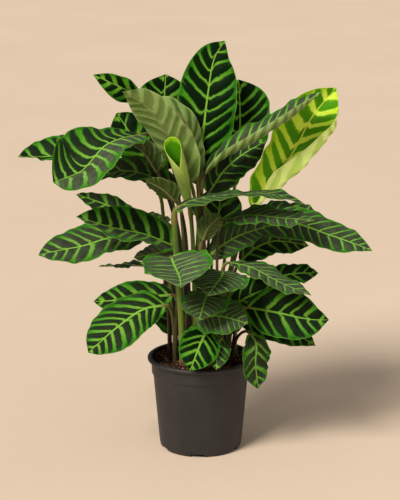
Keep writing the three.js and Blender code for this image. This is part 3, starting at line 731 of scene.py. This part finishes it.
def under_side(name, ground, other, light, olive, **shader):
    graph = Graph(name, specular_ior_level=0.3, **shader)
    p = banded(graph, width=0.13, spread=0.06, softness=0.08)
    base = graph.mix(graph.noise(26, 3), ground, other)
    base = graph.mix(1.0 - graph.value("grey"), base, olive)
    for key, strength in (("stripe", 0.6), ("wedge", 0.35), ("margin", 0.4), ("veins", 0.2)):
        base = graph.mix(p[key] * strength, base, light)
    roughness = 0.5 + graph.noise(60) * 0.2
    height = p["veins"] * 1.2 + graph.noise(380, 2)
    return graph.finish(toned(graph, base), roughness, height, distance=0.0006, strength=0.6)


def stem_material():
    """Stalk from 0 in the soil to 1 at the blade, and the rib under the blade from 1 to 2."""
    graph = Graph("stem", specular_ior_level=0.4, sheen_weight=0.1)
    along, around, tint = graph.value("along"), graph.value("across"), graph.value("tint")
    lines = graph.noise(1.0, 3, 0.6, graph.point(around * 26.0, along * 5.0))
    spots = graph.noise(1.0, 2, 0.5, graph.point(around * 7.0, along * 30.0, 4.0))
    # Greens and browns kept dark, partly the stalk's own colour and partly painted shade among the leaves
    green = graph.mix(lines, colour(56, 84, 12), colour(128, 154, 44))
    brown = graph.mix(lines, colour(42, 22, 16), colour(98, 66, 34))
    sheath = graph.mix(lines, colour(54, 76, 16), colour(126, 138, 52))
    swollen = graph.mix(lines, colour(104, 70, 40), colour(134, 128, 56))
    under = graph.mix(along.ramp(1, 2), colour(126, 110, 58), colour(122, 140, 74))
    base = graph.mix((tint + (spots - 0.5) * 0.7).ramp(0.3, 0.75), green, brown)
    base = graph.mix(along.ramp(0.5, 0.1) * (0.5 - tint * 0.5), base, sheath)
    # Dimmed by the leaf's tone, partly as painted shade
    base = graph.brighten(0.5 + graph.value("tone") * 0.55, base)
    base = graph.mix((along + spots * 0.05).ramp(0.07, 0.02), base, colour(92, 66, 40))
    base = graph.mix(along.ramp(0.89, 0.93) * along.ramp(1.02, 0.97) * 0.75, base, swollen)
    base = graph.mix(along.ramp(0.995, 1.04), base, under)
    return graph.finish(base, 0.42 + lines * 0.25, lines, distance=0.0006, strength=0.6)


def pot_material():
    graph = Graph("pot_plastic", specular_ior_level=0.45)
    cloud, fine = graph.noise(14, 4, 0.6), graph.noise(900, 2)
    base = graph.mix(cloud.ramp(0.3, 0.75), colour(26, 26, 26), colour(39, 38, 37))
    base = graph.mix(fine.ramp(0.55, 0.8) * 0.25, base, colour(96, 90, 84))
    return graph.finish(base, 0.47 + cloud * 0.2, fine + cloud * 0.4, distance=0.0002, strength=0.45)


def earth_material():
    graph = Graph("earth", specular_ior_level=0.2)
    rough, fine = graph.noise(150, 5, 0.7), graph.noise(900, 3, 0.6)
    base = graph.mix(rough.ramp(0.35, 0.7), colour(26, 17, 13), colour(70, 45, 30))
    base = graph.mix(fine.ramp(0.62, 0.8), base, colour(128, 86, 54))
    return graph.finish(base, 0.95, rough + fine * 0.5, distance=0.003, strength=0.9)


def chip_material():
    graph = Graph("bark_chips", specular_ior_level=0.25)
    tint, fibre = graph.value("tint"), graph.noise(600, 4, 0.7)
    base = graph.mix(tint.ramp(0.15, 0.6), colour(34, 22, 16), colour(92, 60, 38))
    base = graph.mix(tint.ramp(0.62, 0.95), base, colour(178, 126, 78))
    base = graph.mix(fibre.ramp(0.45, 0.75) * 0.5, base, colour(40, 26, 18))
    return graph.finish(base, 0.9, fibre, distance=0.001, strength=0.8)


def floor_material():
    graph = Graph("floor", specular_ior_level=0.2)
    cloud, fine = graph.noise(1.1, 5, 0.6), graph.noise(60, 4, 0.6)
    base = graph.mix(cloud, colour(214, 193, 172), colour(228, 208, 187))
    base = graph.mix(fine * 0.2, base, colour(205, 182, 160))
    return graph.finish(base, 0.75, fine, distance=0.001, strength=0.25)


# ------------------------ leaves


def outline(leaf, t):
    """Half of a blade's width at t, as a share of the widest place; the greater tip is, the blunter."""
    widest = leaf["widest"]
    foot = np.sqrt(1 - (np.clip(widest - t, 0, widest) / widest) ** 2)
    ahead = 1 - (np.clip(t - widest, 0, 1) / (1 - widest)) ** leaf["tip"]
    return np.where(t < widest, foot, ahead)


def axes_at(leaf, rib, t):
    """The way to the right half of the blade at t, and the way up from it."""
    faces = np.atleast_2d(np.array(leaf["face"], float))
    tangent = rib.tangent(t)
    lateral = unit(np.cross(tangent, between(t, np.linspace(0, 1, len(faces)), faces)))
    return lateral, np.cross(lateral, tangent)


def at_row(angles, k, t):
    """The fold (k = 0) or curl (k = 1) of a half blade at t, from its angles at the foot and tip."""
    return angles[k] + (angles[k - 2] - angles[k]) * smoothstep(t)


def turned_share(leaf, t, side, v):
    """How much of a side's turn is done at v; a creased side keeps it for a narrow stretch."""
    if "crease" not in leaf:
        return v
    near, far = leaf["crease"]
    return np.where(side > 0, smoothstep((v - near - (far - near) * t) / CREASE_SHARE), v)


def cycle(turns):
    """A wave of -1 to 1 that repeats at each whole turn."""
    return np.sin(2 * np.pi * turns)


def blade(leaf, rib):
    """A blade's middle surface in rows, the way up at its points, and what the materials read."""
    # t runs along the rib, closer at the foot, and v from the rib to the edge, closer at the edge
    t = np.linspace(0, 1, ROWS)[:, None] ** ROW_POWER
    signed = np.linspace(-1, 1, 2 * COLUMNS + 1)[None, :]
    side, v = np.sign(signed), np.abs(signed) ** COLUMN_POWER
    left = side < 0
    width, turn = leaf["width"], leaf["turn"]
    share = np.maximum(outline(leaf, t), 2 * TIP_HALF_WIDTH / width)
    half = share * width / 2 * (1 + SCALLOP * cycle(5.3 * t + turn + 0.4 * side) * (1 - t))
    bend = np.minimum(1, 2.5 * share)
    fold, curl = (
        np.radians(np.where(left, at_row(leaf["left"], k, t), at_row(leaf["right"], k, t))) for k in (0, 1)
    )
    curl = curl * bend
    out = rise = 0
    for k in range(BEND_STEPS):
        angle = fold + curl * turned_share(leaf, t, side, v * (k + 0.5) / BEND_STEPS)
        out = out + half * v * np.cos(angle) / BEND_STEPS
        rise = rise + half * v * np.sin(angle) / BEND_STEPS
    end = fold + curl * turned_share(leaf, t, side, v)
    # Stripes slant toward the tip, and those of the left half don't meet those of the right
    count = max(FEWEST_BANDS, round(rib.length / leaf["band"]))
    slope, arc = (np.where(left, *leaf[key]) for key in ("slope", "arc"))
    ahead = t - half * v * (slope + arc * v) / rib.length
    band = ahead * count + BAND_WANDER * cycle(1.7 * ahead + turn + 0.3 * side) + turn + BAND_SHIFT * left
    # The blade waves and frills at its edge, bulges between its stripes and sinks in at the rib
    wave = v**2 * cycle(leaf["waves"] * t + leaf["phase"] + WAVE_SHIFT * left)
    frill = v**3 * (cycle(5.7 * t + 3 * turn + 0.37 * side) + 0.6 * cycle(9.1 * t - 5 * turn + 0.21 * side))
    quilt = -QUILT * np.sin(np.pi * np.clip(1.05 * v, 0, 1)) * np.cos(2 * np.pi * band)
    groove = -GROOVE_DEPTH * np.exp(-((half * v / GROOVE_WIDTH) ** 2)) * (1 - t) * smoothstep(t / 0.15)
    lift = (leaf["wave"] * wave + leaf["frill"] * frill + quilt) * bend + groove
    lateral, normal = (a[:, None, :] for a in axes_at(leaf, rib, t[:, 0]))
    up = normal * np.cos(end)[..., None] - lateral * (side * np.sin(end))[..., None]
    points = rib.at(t) + lateral * (side * out)[..., None] + normal * rise[..., None] + up * lift[..., None]
    return points, up, dict(band=band, across=v, side=side, out=half * v, along=t)


def sheet(skin, points, up, thickness, values):
    """Both faces of a thin blade. The first half of each ring is its upper side."""
    upper, lower = points + up * thickness / 2, points - up * thickness / 2
    count = points.shape[1]
    both = {}
    for key, value in values.items():
        value = np.broadcast_to(value, points.shape[:2])
        both[key] = np.hstack([value, value[:, ::-1]])
    slots = [0] * (count - 1) + [1] * (count + 1)
    skin.add(np.hstack([upper, lower[:, ::-1]]), slots, BLADE_CHART, **both)


def stalk_line(leaf, rib):
    """The stalk's middle line: upright in the soil, and along the rib where it meets the blade."""
    foot, arrive = rib.at(0.0), rib.tangent(0.0)
    root = np.array([*leaf["root"], SOIL_TOP + SHEATH_RISE], float)
    if "via" in leaf:
        rise, arrival = root + [0, 0, UPRIGHT_FOOT], foot - ARRIVAL * arrive
        return through([root, rise, *seen(leaf["via"]), arrival, foot])
    length = np.linalg.norm(foot - root)
    return bezier(root, root + [0, 0, leaf["rise"] * length], foot - leaf["reach"] * length * arrive, foot)


def stem(skin, leaf, rib, rib_centres, rib_t, **values):
    """The stalk and, in one piece with it, the rib under the blade."""
    stalk = stalk_line(leaf, rib)
    rib_lateral, rib_normal = axes_at(leaf, rib, rib_t)
    angle = math.pi - 2 * math.pi * (np.arange(STALK_SIDES) + 0.5) / STALK_SIDES
    share = np.linspace(0, 1, STALK_ROWS)[:-1]
    sheath = np.clip(1 - share / leaf["sheathed"], 0, 1)
    swelling = SWELLING * np.exp(-(((share - SWELLING_AT) / SWELLING_REACH) ** 2))
    radius = leaf["stalk"] + (leaf["sheath"] - leaf["stalk"]) * sheath + swelling
    centres, tangents = stalk.at(share), stalk.tangent(share)
    lateral = rib_lateral[0]
    rings = []
    for k in range(len(share) - 1, -1, -1):
        lateral = unit(lateral - tangents[k] * (lateral @ tangents[k]))
        normal = np.cross(lateral, tangents[k])
        cleft = 1 - SHEATH_CLEFT * sheath[k] * np.exp(-(((angle - math.pi / 2) / 0.4) ** 2))
        spokes = np.cos(angle)[:, None] * lateral + np.sin(angle)[:, None] * normal
        rings.insert(0, centres[k] + radius[k] * cleft[:, None] * spokes)
    rings.insert(0, rings[0] * [1, 1, 0] + [0, 0, SOIL_TOP - ROOT_DEPTH])
    rib_radius = RIB_TIP_RADIUS + (RIB_RADIUS - RIB_TIP_RADIUS) * (1 - rib_t) ** 0.9
    rib_radius += (leaf["stalk"] - RIB_RADIUS) * np.clip(1 - rib_t / 0.12, 0, 1)
    for k in range(len(rib_t)):
        spokes = np.cos(angle)[:, None] * rib_lateral[k] + np.sin(angle)[:, None] * rib_normal[k]
        drop = 0.8 * rib_radius[k] * smoothstep(rib_t[k] / 0.08)
        rings.append(rib_centres[k] - rib_normal[k] * drop + rib_radius[k] * spokes)
    along = np.concatenate([[-0.03], share, 1 + rib_t])[:, None]
    around = np.abs(np.linspace(-1, 1, STALK_SIDES))
    skin.add(np.array(rings), 2, STALK_CHART, along=along, across=around, **values)


def make_leaf(name, given):
    tone, turn, tint, stripe = random.random(4)
    leaf = {**ORDINARY, "tone": tone, "turn": turn, "tint": 0.8 * tint, "stripe": stripe, **given}
    rib = through(seen(leaf["rib"]))
    points, up, values = blade(leaf, rib)
    thickness = BLADE_THICKNESS + (EDGE_THICKNESS - BLADE_THICKNESS) * values["across"][..., None] ** 2
    # Where grey gives two numbers, the painted sheen is stronger on the half that catches more light
    grey = np.where(values["side"] < 0, *np.broadcast_to(leaf["grey"], 2))
    skin = Skin()
    sheet(skin, points, up, thickness, values | dict(tone=leaf["tone"], tint=leaf["stripe"], grey=grey))
    # The rib under the blade takes every other row and ends short of the tip
    centres, t = points[:-3:2, COLUMNS], values["along"][:-3:2, 0]
    stem(skin, leaf, rib, centres, t, tint=leaf["tint"], tone=leaf["tone"])
    faces, slot = (YOUNG, "young_leaf") if "young" in name else (GROWN, "leaf")
    skin.make(name + "_blade", [*faces, STEM], slot, name)


def make_furled(name):
    """A leaf still rolled up: a blade wound round its line, its free edges shorter than its rib."""
    leaf = {**ORDINARY, **FURLED}
    rib = through(seen(leaf["rib"]))
    t = np.linspace(0, 1, ROLL_ROWS)[:, None]
    signed = np.linspace(-1, 1, ROLL_COLUMNS)[None, :]
    v = np.abs(signed)
    height = t * (1 - MOUTH_SLANT * v**2)
    radius = (ROLL_FOOT_RADIUS + ROLL_GROWTH * height**0.5) * (1 + ROLL_OVERLAP * signed)
    angle = math.pi / 2 + signed * math.pi * ROLL_TURN
    lateral, normal = (between(height, t[:, 0], a) for a in axes_at(leaf, rib, t[:, 0]))
    inward = -(lateral * np.cos(angle)[..., None] - normal * np.sin(angle)[..., None])
    points = rib.at(height) - inward * radius[..., None]
    values = dict(band=0.5 + 0.3 * (height - 0.5), across=np.maximum(0.9 * v, t**2), side=np.sign(signed))
    skin = Skin()
    sheet(skin, points, inward, ROLL_WALL, values | dict(out=9, along=t, tone=ROLL_TONE))
    t = np.linspace(0, 0.2, 6)
    stem(skin, leaf, rib, rib.at(t), t, tone=ROLL_TONE)
    skin.make(name + "_roll", [*YOUNG, STEM], "young_leaf", name)


# ------------------------ pot and soil


def rounded(profile, reach, steps=4):
    """The profile with its corners rounded off."""
    points = [profile[0]]
    for before, corner, after in zip(profile, profile[1:], profile[2:]):
        before, corner, after = (np.array(p, float) for p in (before, corner, after))
        one, two = before - corner, after - corner
        cut = min(reach, np.linalg.norm(one) / 2.1, np.linalg.norm(two) / 2.1)
        a, c = corner + unit(one) * cut, corner + unit(two) * cut
        for s in np.linspace(0, 1, steps + 1):
            points.append((1 - s) ** 2 * a + 2 * (1 - s) * s * corner + s**2 * c)
    return np.array([*points, profile[-1]], float)


def turned(profile, sides):
    """Rings of a round body whose profile starts and ends on the axis."""
    profile = np.maximum(profile, [NEAR_AXIS, -np.inf])
    flat = profile[:, None, :1] * circle(sides)
    return np.dstack([flat, np.broadcast_to(profile[:, 1:], flat.shape[:2])])


def mesh_of(name, made):
    """The bmesh as a mesh, and the bmesh freed."""
    mesh = bpy.data.meshes.new(name)
    made.to_mesh(mesh)
    made.free()
    return mesh


def closed_mesh(name, rings):
    """A plain closed mesh over rings, facing out."""
    made = bmesh.new()
    rows = [[made.verts.new(Vector(p) * MM) for p in ring] for ring in rings]
    count = len(rows[0])
    for low, high in zip(rows, rows[1:]):
        for k in range(count):
            made.faces.new((low[k], low[(k + 1) % count], high[(k + 1) % count], high[k]))
    made.faces.new(rows[0])
    made.faces.new(rows[-1])
    bmesh.ops.recalc_face_normals(made, faces=made.faces)
    return mesh_of(name, made)


def cutter(name, made, reach, turn):
    """A scratch object that stands reach away from the axis, turned to face it."""
    tool = add_object(name, mesh_of(name, made))
    tool.location = Vector((math.cos(turn) * reach, math.sin(turn) * reach, 0)) * MM
    tool.rotation_euler.z = turn
    return tool


def pot_cutters():
    """The notches in the pot's foot, and between them the drain holes in its floor."""
    for k in range(NOTCH_COUNT):
        turn = math.radians(NOTCH_TURN + 360 / NOTCH_COUNT * k)
        notch, drill = bmesh.new(), bmesh.new()
        bmesh.ops.create_cube(notch, size=1)
        bmesh.ops.scale(notch, vec=Vector(NOTCH) * MM, verts=notch.verts)
        radius, depth = DRAIN_RADIUS * MM, DRILL_LENGTH * MM
        bmesh.ops.create_cone(
            drill, cap_ends=True, segments=DRAIN_SIDES, radius1=radius, radius2=radius, depth=depth
        )
        yield cutter(f"notch_{k}", notch, FOOT_RADIUS, turn)
        yield cutter(f"drill_{k}", drill, DRAIN_CIRCLE, turn + math.pi / NOTCH_COUNT)


def smooth(mesh, material):
    mesh.materials.clear()
    mesh.materials.append(material)
    mesh.polygons.foreach_set("use_smooth", np.ones(len(mesh.polygons), bool))


def make_pot():
    profile = [
        (0, 0), (PAD_RADIUS, 0), (PAD_RADIUS + 1, FLOOR_LIFT), (FOOT_RADIUS - 6, FLOOR_LIFT),
        (FOOT_RADIUS - 5, 0), (FOOT_RADIUS, 0), (FOOT_RADIUS + 3, 4), (BODY_FOOT_RADIUS, FOOT_HEIGHT),
        (BODY_TOP_RADIUS, COLLAR_FOOT - 2), (COLLAR_RADIUS, COLLAR_FOOT), (COLLAR_RADIUS + 1, RIM_FOOT),
        (RIM_RADIUS - 1.5, RIM_FOOT), (RIM_RADIUS, RIM_FOOT + 1.5), (RIM_RADIUS, POT_HEIGHT - 2),
        (RIM_RADIUS - 2, POT_HEIGHT), (COLLAR_RADIUS + 1, POT_HEIGHT), (COLLAR_RADIUS - 1, POT_HEIGHT - 2),
        (COLLAR_RADIUS - WALL, COLLAR_FOOT + 1), (BODY_TOP_RADIUS - WALL, COLLAR_FOOT - 3),
        (BODY_FOOT_RADIUS - WALL, FOOT_HEIGHT), (FOOT_RADIUS - WALL, FLOOR_TOP), (0, FLOOR_TOP),
    ]
    body = add_object("pot_body", closed_mesh("pot_body", turned(rounded(profile, CORNER), POT_SIDES)))
    cutters = list(pot_cutters())
    for tool in cutters:
        cut = body.modifiers.new(tool.name, "BOOLEAN")
        cut.operation, cut.solver, cut.object = "DIFFERENCE", "EXACT", tool
    bpy.context.view_layer.update()
    mesh = bpy.data.meshes.new_from_object(body.evaluated_get(bpy.context.evaluated_depsgraph_get()))
    for made in (body, *cutters):
        bpy.data.objects.remove(made)
    mesh.name = "pot_moulded"
    smooth(mesh, pot_material())
    mesh.set_sharp_from_angle(angle=math.radians(38))
    place("pot_moulded", mesh, "pot", "pot")


def soil_height(x, y):
    """Lumps of the soil over its middle level."""
    lumps = math.sin(x * 0.21 + 1.3 * math.sin(y * 0.17)) * math.cos(y * 0.19 + 0.8 * math.sin(x * 0.13))
    return LUMP_HEIGHT * lumps + CLOD_HEIGHT * noise.fractal(Vector((x, y, 3)) * 0.09, 0.9, 2.1, 5)


def make_soil():
    radii = np.linspace(0, SOIL_RADIUS - 0.5, SOIL_RINGS)
    inset = WALL + SOIL_GAP
    profile = [(r, SOIL_TOP) for r in radii] + [
        (SOIL_RADIUS, SOIL_TOP - 2), (SOIL_RADIUS, COLLAR_FOOT + 2.5),
        (BODY_TOP_RADIUS - inset, COLLAR_FOOT - 3), (BODY_FOOT_RADIUS - inset, FOOT_HEIGHT + 0.2),
        (FOOT_RADIUS - inset, FLOOR_TOP + SOIL_GAP), (0, FLOOR_TOP + SOIL_GAP),
    ]
    rings = turned(np.array(profile, float), SOIL_SIDES)
    for ring in rings[: len(radii)]:
        for p in ring:
            p[2] += soil_height(p[0], p[1])
    mesh = closed_mesh("soil_bed", rings)
    smooth(mesh, earth_material())
    place("soil_bed", mesh, "soil", "soil")


def make_chips():
    """Bark chips and crumbs strewn over the soil."""
    crumb = bmesh.new()
    bmesh.ops.create_icosphere(crumb, subdivisions=1, radius=1)
    shape = np.array([v.co for v in crumb.verts])
    corners = np.array([[v.index for v in f.verts] for f in crumb.faces])
    crumb.free()
    radius = CHIP_REACH * np.sqrt(random.random(CHIP_COUNT))
    angle = 2 * math.pi * random.random(CHIP_COUNT)
    # Most are small, a few large, and each is longer than wide and lies nearly flat
    size = np.clip(np.exp(random.normal(0.35, 0.55, CHIP_COUNT)), *CHIP_SIZES)
    points, faces, tints = [], [], []
    for k in range(CHIP_COUNT):
        x, y = radius[k] * math.cos(angle[k]), radius[k] * math.sin(angle[k])
        stretch = size[k] * np.array([1, 0.35 + 0.5 * random.random(), 0.22 + 0.4 * random.random()])
        lump = shape * stretch * (1 + 0.25 * random.normal(size=(len(shape), 1)))
        spin = Euler((random.normal() * 0.5, random.normal() * 0.5, random.random() * 6.3)).to_matrix()
        reach = min(1, CHIP_REACH / (radius[k] + size[k]))
        centre = [x * reach, y * reach, SOIL_TOP + soil_height(x * reach, y * reach) + 0.35 * stretch[2]]
        faces.append(corners + k * len(shape))
        points.append(lump @ np.array(spin).T + centre)
        tints.append(np.full(len(shape), random.random()))
    mesh = bpy.data.meshes.new("soil_chips")
    mesh.from_pydata((np.vstack(points) * MM).tolist(), [], np.vstack(faces).tolist())
    write_value(mesh, "tint", tints)
    mesh.materials.append(chip_material())
    mesh.update()
    place("soil_chips", mesh, "soil")


# ------------------------ stage


def lamp(name, kind, energy, color, at, aim):
    light = bpy.data.lights.new(name, kind)
    light.energy, light.color = energy, color
    made = add_object(name, light)
    made.location = Vector(at) * MM
    made.rotation_euler = (Vector(aim) - Vector(at)).to_track_quat("-Z", "Y").to_euler()
    return light


def make_stage():
    mesh = bpy.data.meshes.new("floor")
    reach = FLOOR_REACH * MM
    corners = [(-reach, -reach, 0), (reach, -reach, 0), (reach, reach, 0), (-reach, reach, 0)]
    mesh.from_pydata(corners, [], [(0, 1, 2, 3)])
    mesh.materials.append(floor_material())
    add_object("floor", mesh)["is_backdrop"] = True
    lamp("sun", **SUN).angle = math.radians(SUN_SPREAD)
    lamp("fill", **FILL).size = FILL_SIZE * MM
    world = bpy.data.worlds.new("studio")
    world.use_nodes = True
    sky = world.node_tree.nodes["Background"]
    sky.inputs["Color"].default_value = SKY_COLOUR
    sky.inputs["Strength"].default_value = SKY_STRENGTH
    scene = bpy.context.scene
    scene.world = world
    view = bpy.data.cameras.new("camera")
    view.lens, view.sensor_width, view.clip_end = LENS, SENSOR, CAMERA_REACH * MM
    scene.camera = add_object("camera", view)
    scene.camera.location = Vector(EYE) * MM
    scene.camera.rotation_euler = (math.radians(90 - PITCH_DOWN), 0, 0)
    scene.view_settings.view_transform = "Standard"


make_stage()

GROWN = (
    upper_side(
        "leaf_upper", deep=colour(0, 14, 0), dark=colour(5, 30, 3), light=colour(66, 132, 20),
        pale=colour(108, 158, 46), margin=colour(40, 104, 18), rib=colour(124, 178, 60),
        sheen_weight=0.05, sheen_tint=colour(170, 176, 164),
    ),
    under_side(
        "leaf_under", ground=colour(92, 116, 54), other=colour(110, 132, 68), light=colour(146, 170, 98),
        olive=colour(66, 96, 16), sheen_weight=0.04,
    ),
)
# A young leaf's greens: partly its own lighter green, partly painted light shining through the thin blade
YOUNG = (
    upper_side(
        "young_upper", deep=colour(48, 112, 6), dark=colour(80, 148, 12), light=colour(174, 212, 40),
        pale=colour(198, 224, 74), margin=colour(134, 184, 26), rib=colour(198, 212, 72),
        width=0.11, spread=0.09, sheen_weight=0.1,
    ),
    under_side(
        "young_under", ground=colour(146, 172, 66), other=colour(170, 190, 88),
        light=colour(206, 216, 132), olive=colour(160, 184, 78), sheen_weight=0.1,
    ),
)
STEM = stem_material()

make_pot()
make_soil()
make_chips()
for name, leaf in LEAVES.items():
    make_leaf(f"leaf_{name}", leaf)
make_furled("leaf_new_furled")

boxes = {"cad": cad_box, "visual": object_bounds()}
{key: [list(corner) for corner in value] for key, value in boxes.items()}
